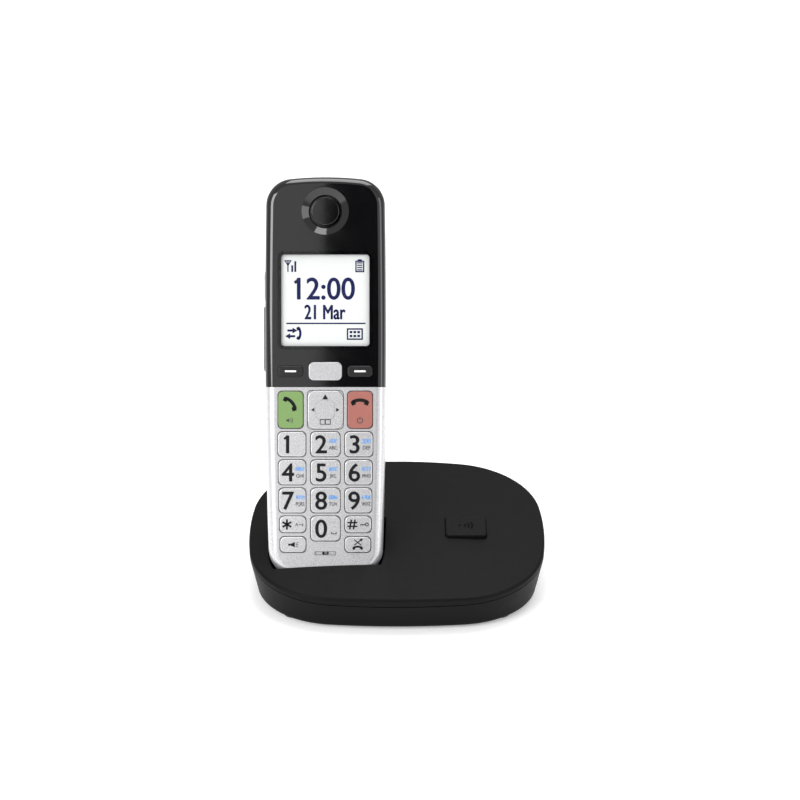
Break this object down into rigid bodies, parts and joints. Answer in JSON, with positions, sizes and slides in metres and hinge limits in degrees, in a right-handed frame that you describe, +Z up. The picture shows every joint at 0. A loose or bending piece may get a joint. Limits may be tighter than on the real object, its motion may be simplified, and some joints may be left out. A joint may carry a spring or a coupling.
{
  "type": "cordless phone with base",
  "caption": "Cordless telephone handset standing in a rounded charging base, with working keys, battery door and locator button.",
  "frame": {"origin": "middle of the base's footprint, on the plane that its rubber feet stand on", "axes": "+X to the right as the phone is used, +Y to the back, +Z up"},
  "size_m": [0.128, 0.103, 0.1708],
  "materials": {
    "black_gloss": "piano black",
    "silver_plastic": "silver-grey, satin",
    "silver_key": "silver-grey, satin",
    "black_matte": "matte black",
    "charcoal_plastic": "charcoal, fine-grained",
    "green_key": "muted green",
    "red_key": "muted red",
    "clear_window": "clear",
    "lcd": "pale display",
    "light_guide": "white",
    "board_green": "solder mask",
    "silicone": "grey silicone",
    "steel": "steel",
    "nickel": "nickel plated",
    "gold": "gold plated",
    "cell_wrap": "printed sleeve",
    "rubber_grey": "grey rubber",
    "zinc": "zinc plated"
  },
  "bodies": {
    "base": {"base_top_cover": "charcoal_plastic", "base_bottom_cover": "charcoal_plastic", "base_feet": "rubber_grey", "base_screws": "zinc", "locator_switch": "black_matte", "base_circuit_board": "board_green", "base_antenna": "steel", "line_jack": "black_matte", "line_jack_contacts": "gold", "power_jack": "black_matte", "power_jack_pin": "nickel", "contact_holder": "black_matte"},
    "handset": {"handset_front_upper": "black_gloss", "handset_front_lower": "silver_plastic", "handset_rear_cover": "charcoal_plastic", "handset_screws": "zinc", "handset_charge_plates": "nickel", "cell_left": "cell_wrap", "cell_right": "cell_wrap", "cell_contacts": "steel", "keypad_mat": "silicone", "handset_circuit_board": "board_green", "display_window": "clear_window", "display_panel": "lcd", "display_backlight": "light_guide", "earpiece_cap": "black_matte", "earpiece_receiver": "black_matte", "microphone_boot": "rubber_grey", "microphone": "steel", "loudspeaker": "black_matte", "headset_jack": "black_matte"},
    "battery_door": {"battery_door": "charcoal_plastic"},
    "key_1": {"key_1": "silver_key"},
    "key_2": {"key_2": "silver_key"},
    "key_3": {"key_3": "silver_key"},
    "key_4": {"key_4": "silver_key"},
    "key_5": {"key_5": "silver_key"},
    "key_6": {"key_6": "silver_key"},
    "key_7": {"key_7": "silver_key"},
    "key_8": {"key_8": "silver_key"},
    "key_9": {"key_9": "silver_key"},
    "key_star": {"key_star": "silver_key"},
    "key_0": {"key_0": "silver_key"},
    "key_hash": {"key_hash": "silver_key"},
    "key_ringer": {"key_ringer": "silver_key"},
    "key_redial": {"key_redial": "silver_key"},
    "key_talk": {"key_talk": "green_key"},
    "key_end": {"key_end": "red_key"},
    "soft_key_left": {"soft_key_left": "black_matte"},
    "soft_key_middle": {"soft_key_middle": "silver_key"},
    "soft_key_right": {"soft_key_right": "black_matte"},
    "navigator_pivot": {"navigator_pivot": "light_guide"},
    "key_navigator": {"key_navigator": "silver_key"},
    "volume_rocker": {"volume_rocker": "black_gloss"},
    "headset_jack_cover": {"headset_jack_cover": "rubber_grey"},
    "locator_button": {"locator_button": "charcoal_plastic"},
    "charge_contact_left": {"charge_contact_left": "nickel"},
    "charge_contact_right": {"charge_contact_right": "nickel"}
  },
  "joints": [
    {"name": "handset_lift", "type": "slide", "parent": "base", "child": "handset", "axis": [0, 0.3746, 0.9272], "range_m": [0, 0.12]},
    {"name": "battery_door_lift", "type": "slide", "parent": "handset", "child": "battery_door", "axis": [0, 0.9272, -0.3746], "range_m": [0, 0.012]},
    {"name": "key_1_press", "type": "slide", "parent": "handset", "child": "key_1", "axis": [0, 0.9272, -0.3746], "range_m": [0, 0.0008], "stiffness_N_per_m": 900, "springref_m": -0.0003},
    {"name": "key_2_press", "type": "slide", "parent": "handset", "child": "key_2", "axis": [0, 0.9272, -0.3746], "range_m": [0, 0.0008], "stiffness_N_per_m": 900, "springref_m": -0.0003},
    {"name": "key_3_press", "type": "slide", "parent": "handset", "child": "key_3", "axis": [0, 0.9272, -0.3746], "range_m": [0, 0.0008], "stiffness_N_per_m": 900, "springref_m": -0.0003},
    {"name": "key_4_press", "type": "slide", "parent": "handset", "child": "key_4", "axis": [0, 0.9272, -0.3746], "range_m": [0, 0.0008], "stiffness_N_per_m": 900, "springref_m": -0.0003},
    {"name": "key_5_press", "type": "slide", "parent": "handset", "child": "key_5", "axis": [0, 0.9272, -0.3746], "range_m": [0, 0.0008], "stiffness_N_per_m": 900, "springref_m": -0.0003},
    {"name": "key_6_press", "type": "slide", "parent": "handset", "child": "key_6", "axis": [0, 0.9272, -0.3746], "range_m": [0, 0.0008], "stiffness_N_per_m": 900, "springref_m": -0.0003},
    {"name": "key_7_press", "type": "slide", "parent": "handset", "child": "key_7", "axis": [0, 0.9272, -0.3746], "range_m": [0, 0.0008], "stiffness_N_per_m": 900, "springref_m": -0.0003},
    {"name": "key_8_press", "type": "slide", "parent": "handset", "child": "key_8", "axis": [0, 0.9272, -0.3746], "range_m": [0, 0.0008], "stiffness_N_per_m": 900, "springref_m": -0.0003},
    {"name": "key_9_press", "type": "slide", "parent": "handset", "child": "key_9", "axis": [0, 0.9272, -0.3746], "range_m": [0, 0.0008], "stiffness_N_per_m": 900, "springref_m": -0.0003},
    {"name": "key_star_press", "type": "slide", "parent": "handset", "child": "key_star", "axis": [0, 0.9272, -0.3746], "range_m": [0, 0.0008], "stiffness_N_per_m": 900, "springref_m": -0.0003},
    {"name": "key_0_press", "type": "slide", "parent": "handset", "child": "key_0", "axis": [0, 0.9272, -0.3746], "range_m": [0, 0.0008], "stiffness_N_per_m": 900, "springref_m": -0.0003},
    {"name": "key_hash_press", "type": "slide", "parent": "handset", "child": "key_hash", "axis": [0, 0.9272, -0.3746], "range_m": [0, 0.0008], "stiffness_N_per_m": 900, "springref_m": -0.0003},
    {"name": "key_ringer_press", "type": "slide", "parent": "handset", "child": "key_ringer", "axis": [0, 0.9272, -0.3746], "range_m": [0, 0.0008], "stiffness_N_per_m": 900, "springref_m": -0.0003},
    {"name": "key_redial_press", "type": "slide", "parent": "handset", "child": "key_redial", "axis": [0, 0.9272, -0.3746], "range_m": [0, 0.0008], "stiffness_N_per_m": 900, "springref_m": -0.0003},
    {"name": "key_talk_press", "type": "slide", "parent": "handset", "child": "key_talk", "axis": [0, 0.9272, -0.3746], "range_m": [0, 0.0008], "stiffness_N_per_m": 900, "springref_m": -0.0003},
    {"name": "key_end_press", "type": "slide", "parent": "handset", "child": "key_end", "axis": [0, 0.9272, -0.3746], "range_m": [0, 0.0008], "stiffness_N_per_m": 900, "springref_m": -0.0003},
    {"name": "soft_key_left_press", "type": "slide", "parent": "handset", "child": "soft_key_left", "axis": [0, 0.9272, -0.3746], "range_m": [0, 0.0008], "stiffness_N_per_m": 900, "springref_m": -0.0003},
    {"name": "soft_key_middle_press", "type": "slide", "parent": "handset", "child": "soft_key_middle", "axis": [0, 0.9272, -0.3746], "range_m": [0, 0.0008], "stiffness_N_per_m": 900, "springref_m": -0.0003},
    {"name": "soft_key_right_press", "type": "slide", "parent": "handset", "child": "soft_key_right", "axis": [0, 0.9272, -0.3746], "range_m": [0, 0.0008], "stiffness_N_per_m": 900, "springref_m": -0.0003},
    {"name": "navigator_side_rock", "type": "hinge", "parent": "handset", "child": "navigator_pivot", "pos_m": [-0.0301, -0.00056, 0.07942], "axis": [0, 0.3746, 0.9272], "range_deg": [-1.2, 1.2], "stiffness_Nm_per_rad": 0.05},
    {"name": "navigator_rock", "type": "hinge", "parent": "navigator_pivot", "child": "key_navigator", "pos_m": [-0.0301, -0.0013, 0.07972], "axis": [1, 0, 0], "range_deg": [-1.2, 1.2], "stiffness_Nm_per_rad": 0.05},
    {"name": "volume_rocker_tilt", "type": "hinge", "parent": "handset", "child": "volume_rocker", "pos_m": [-0.0539, 0.01329, 0.10607], "axis": [0, -0.9272, 0.3746], "range_deg": [-1.5, 1.5], "stiffness_Nm_per_rad": 0.2},
    {"name": "headset_jack_cover_pull", "type": "slide", "parent": "handset", "child": "headset_jack_cover", "axis": [-1, 0, 0], "range_m": [0, 0.006]},
    {"name": "locator_button_press", "type": "slide", "parent": "base", "child": "locator_button", "axis": [0, 0.1564, -0.9877], "range_m": [0, 0.0008], "stiffness_N_per_m": 900, "springref_m": -0.0005},
    {"name": "charge_contact_left_slide", "type": "slide", "parent": "base", "child": "charge_contact_left", "axis": [0, 0.3286, -0.9445], "range_m": [0, 0.001], "stiffness_N_per_m": 400, "springref_m": -0.0004},
    {"name": "charge_contact_right_slide", "type": "slide", "parent": "base", "child": "charge_contact_right", "axis": [0, 0.3286, -0.9445], "range_m": [0, 0.001], "stiffness_N_per_m": 400, "springref_m": -0.0004}
  ]
}
